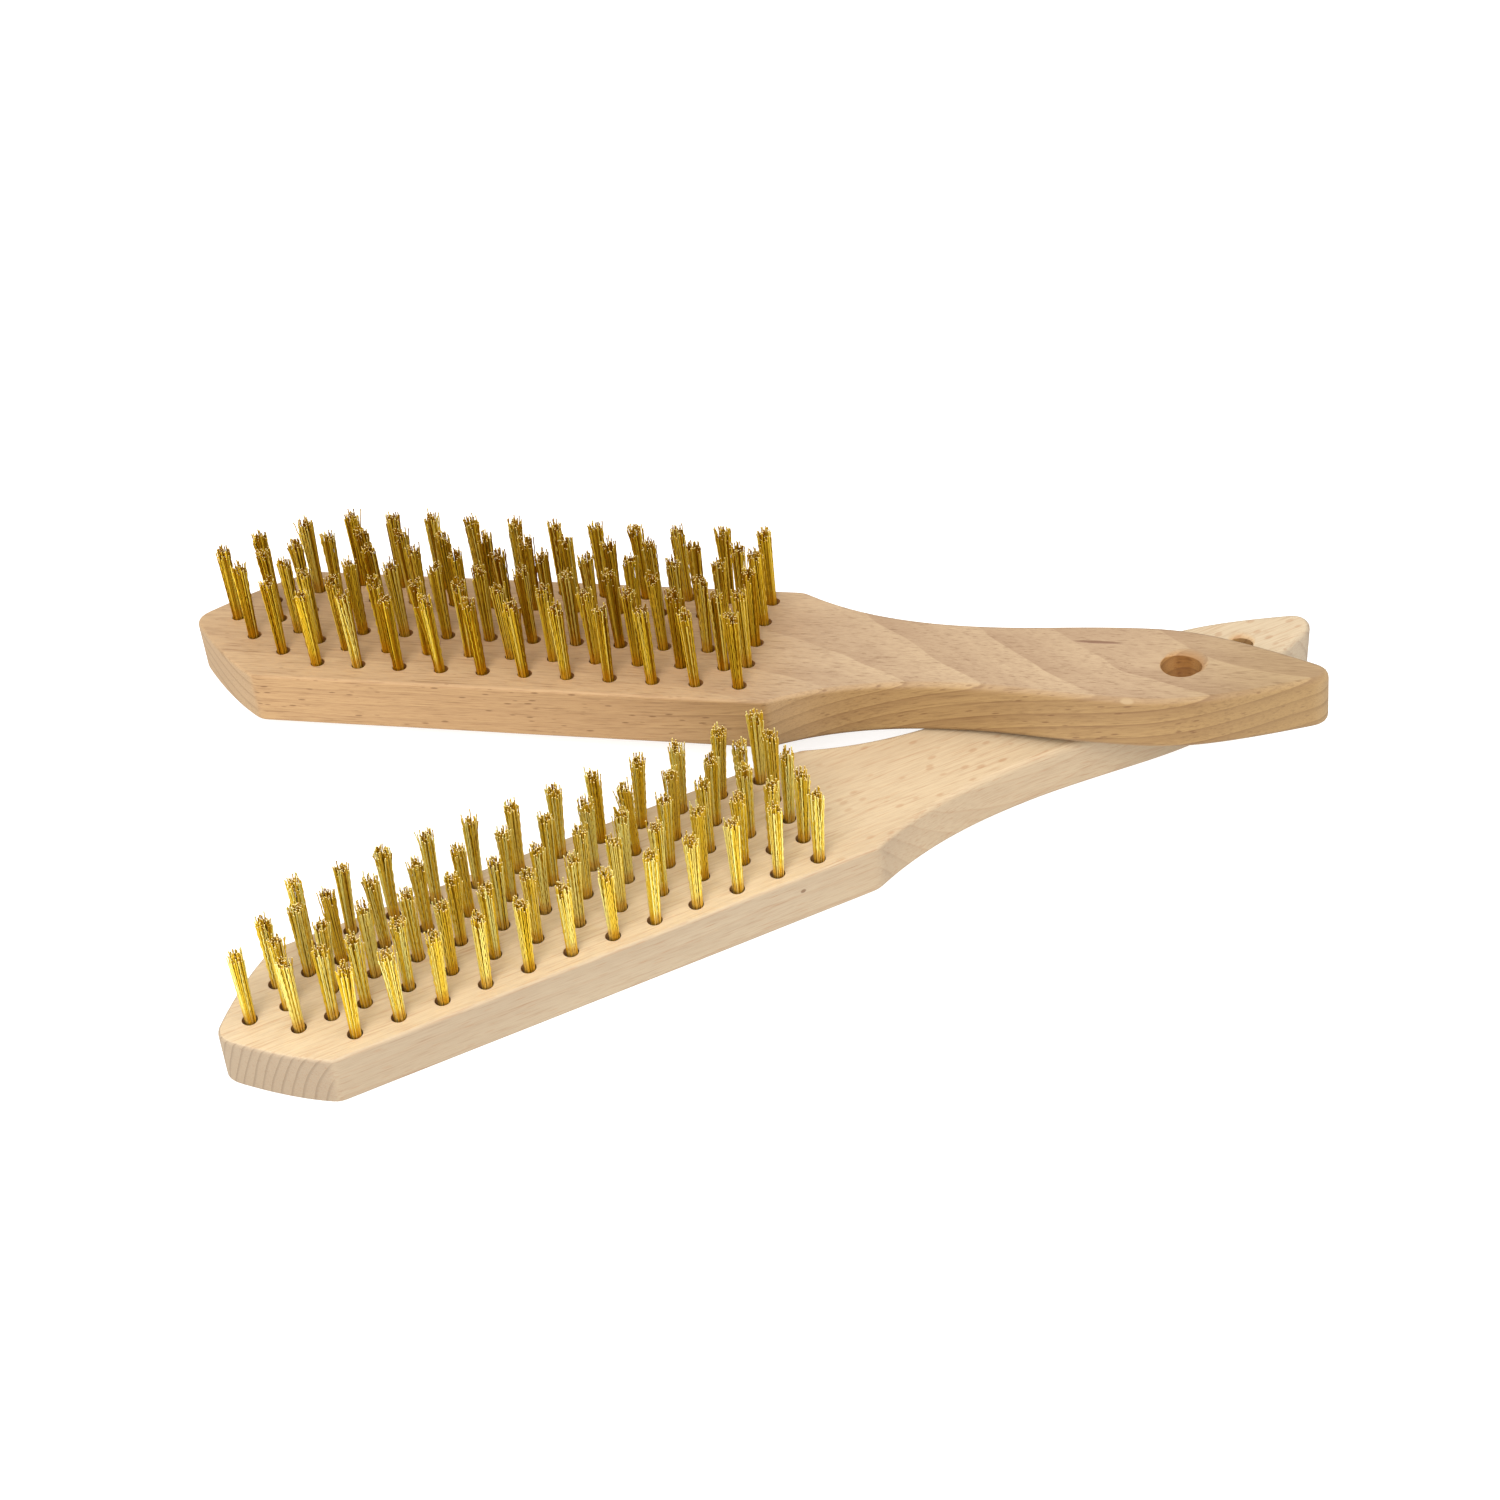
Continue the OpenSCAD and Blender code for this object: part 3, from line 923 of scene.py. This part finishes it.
lower_wood = beech(
    lower,
    Beech(
        pale=linear(179, 158, 127),
        dark=linear(157, 134, 105),
        end_tone=linear(136, 120, 100),
        end_line_tone=linear(96, 80, 62),
        fleck_tone=linear(140, 96, 58),
        # Painted light on the head's top, and painted shade on the side faces:
        head_painted_light=(1.09, 1.11, 1.13, 1),
        side_painted_shade=(0.77, 0.79, 0.83, 1),
        handle_side_painted_shade=(0.81, 0.81, 0.82, 1),
        tail_tint=(1.02, 1.07, 1.14, 1),
        ring_width=1.7,
        ring_start=0.0,
        ring_depth=0.25,
        head_ring_share=1.0,
        line_depth=0.12,
        end_line_depth=0.34,
        streak_depth=0.44,
        wander=0.9,
        flecks=(
            Flecks(room=(5, 2.4, 3), fill=0.24, share=0.65, on_head=0.05, on_top=0.36, on_side=0.0),
            Flecks(room=(7, 1.5, 0.9), fill=0.2, share=0.6, on_head=1.0, on_top=0.05, on_side=0.3),
        ),
        knots=(),
        marks=(
            Mark(at=(136.5, -20.1, 9.5), reach=(0.9, 0.7, 0.7), colour=linear(96, 66, 42), depth=0.8),
        ),
    ),
)
upper_wood = beech(
    upper,
    Beech(
        pale=linear(168, 144, 113),
        dark=linear(136, 109, 83),
        end_tone=linear(160, 135, 102),
        end_line_tone=linear(104, 76, 46),
        fleck_tone=linear(92, 58, 30),
        # Painted light on the head's top, and painted shade on the side faces:
        head_painted_light=(1.02, 0.95, 0.85, 1),
        side_painted_shade=(0.94, 0.81, 0.62, 1),
        handle_side_painted_shade=(0.73, 0.63, 0.41, 1),
        tail_tint=(0.82, 0.79, 0.68, 1),
        ring_width=3.71,
        ring_start=187.6,
        ring_depth=0.56,
        head_ring_share=0.35,
        line_depth=0.3,
        end_line_depth=0.3,
        streak_depth=0.44,
        wander=0.5,
        flecks=(
            Flecks(room=(6, 1.1, 1.5), fill=0.17, share=0.6, on_head=1.0, on_top=0.1, on_side=0.7),
            Flecks(room=(5, 1, 1.3), fill=0.14, share=0.4, on_head=1.0, on_top=0.3, on_side=0.3),
        ),
        knots=(Knot(at=(244.4, -1.4, 14), reach=(4.2, 2.4, 8), height=1.5),),
        marks=(
            Mark(at=(243.2, -15.2, 13.4), reach=(2.1, 1.3, 0.9), colour=linear(152, 128, 94), depth=0.8),
            Mark(at=(233.3, 7.8, 14), reach=(7.5, 0.7, 0.8), colour=linear(92, 54, 38), depth=0.7),
        ),
    ),
)
wire_metal = brass()
staple_metal = steel()

for brush, wood in ((lower, lower_wood), (upper, upper_wood)):
    tuft_nodes = [node for node in brush.nodes if "_tufts_" in node]
    centers = [c for node in tuft_nodes for c in tuft_centers(brush, node)]
    add_block(brush, wood, centers)
    for node in tuft_nodes:
        add_tufts(brush, node, wire_metal)
    for node in brush.nodes:
        if "_staples_" in node:
            frame["nodes"][node].data.materials.clear()
            frame["nodes"][node].data.materials.append(staple_metal)


# Stage, lights and camera

FLOOR_HALF = 4.0
FLOOR_Z = -0.0002
CAMERA_TARGET = Vector((-0.00128, 0.00564, 0.013))
CAMERA_DISTANCE = 0.7395
CAMERA_ELEVATION = math.radians(41.62)
CAMERA_ROLL = math.radians(4.19)
CAMERA_LENS = 72.8


def add_floor():
    """A plain pale floor, wide enough to fill the picture."""
    mesh = bpy.data.meshes.new("floor")
    corners = [(-FLOOR_HALF, -FLOOR_HALF), (FLOOR_HALF, -FLOOR_HALF)]
    corners += [(FLOOR_HALF, FLOOR_HALF), (-FLOOR_HALF, FLOOR_HALF)]
    mesh.from_pydata([(x, y, FLOOR_Z) for x, y in corners], [], [(0, 1, 2, 3)])
    n = Nodes("pale_floor")
    n.put(n.shader, "Base Color", (0.45, 0.45, 0.45, 1))
    n.put(n.shader, "Roughness", 0.9)
    n.put(n.shader, "Emission Color", (1, 1, 1, 1))
    n.put(n.shader, "Emission Strength", 0.75)
    n.shader.inputs["Specular IOR Level"].default_value = 0.1
    mesh.materials.append(n.material)
    floor = bpy.data.objects.new("floor", mesh)
    bpy.context.scene.collection.objects.link(floor)


def add_light(name, at, target, size, power):
    """A round soft light that faces its target."""
    data = bpy.data.lights.new(name, "AREA")
    data.shape = "DISK"
    data.size = size
    data.energy = power
    light = bpy.data.objects.new(name, data)
    light.location = at
    light.rotation_euler = (Vector(target) - Vector(at)).to_track_quat("-Z", "Y").to_euler()
    bpy.context.scene.collection.objects.link(light)


def add_camera():
    """A camera above the near side, turned a little about its own axis."""
    back = Vector((0, -math.cos(CAMERA_ELEVATION), math.sin(CAMERA_ELEVATION)))
    right = Vector((1, 0, 0))
    up = back.cross(right)
    turned_right = math.cos(CAMERA_ROLL) * right - math.sin(CAMERA_ROLL) * up
    turned_up = math.sin(CAMERA_ROLL) * right + math.cos(CAMERA_ROLL) * up
    data = bpy.data.cameras.new("camera")
    data.lens = CAMERA_LENS
    data.clip_end = 20
    camera = bpy.data.objects.new("camera", data)
    axes = Matrix((turned_right, turned_up, back)).transposed().to_4x4()
    camera.matrix_world = Matrix.Translation(CAMERA_TARGET + CAMERA_DISTANCE * back) @ axes
    bpy.context.scene.collection.objects.link(camera)
    bpy.context.scene.camera = camera


add_floor()
add_light("key", at=(-0.35, -1.2, 1.6), target=(0, 0, 0), size=1.4, power=54)
add_light("fill", at=(1.3, -0.5, 1.5), target=(0, 0, 0), size=1.6, power=12)
add_camera()

world = bpy.data.worlds.new("studio")
world.use_nodes = True
world.node_tree.nodes["Background"].inputs["Color"].default_value = (1, 1, 1, 1)
world.node_tree.nodes["Background"].inputs["Strength"].default_value = 1.0
bpy.context.scene.world = world
bpy.context.scene.view_settings.view_transform = "Standard"
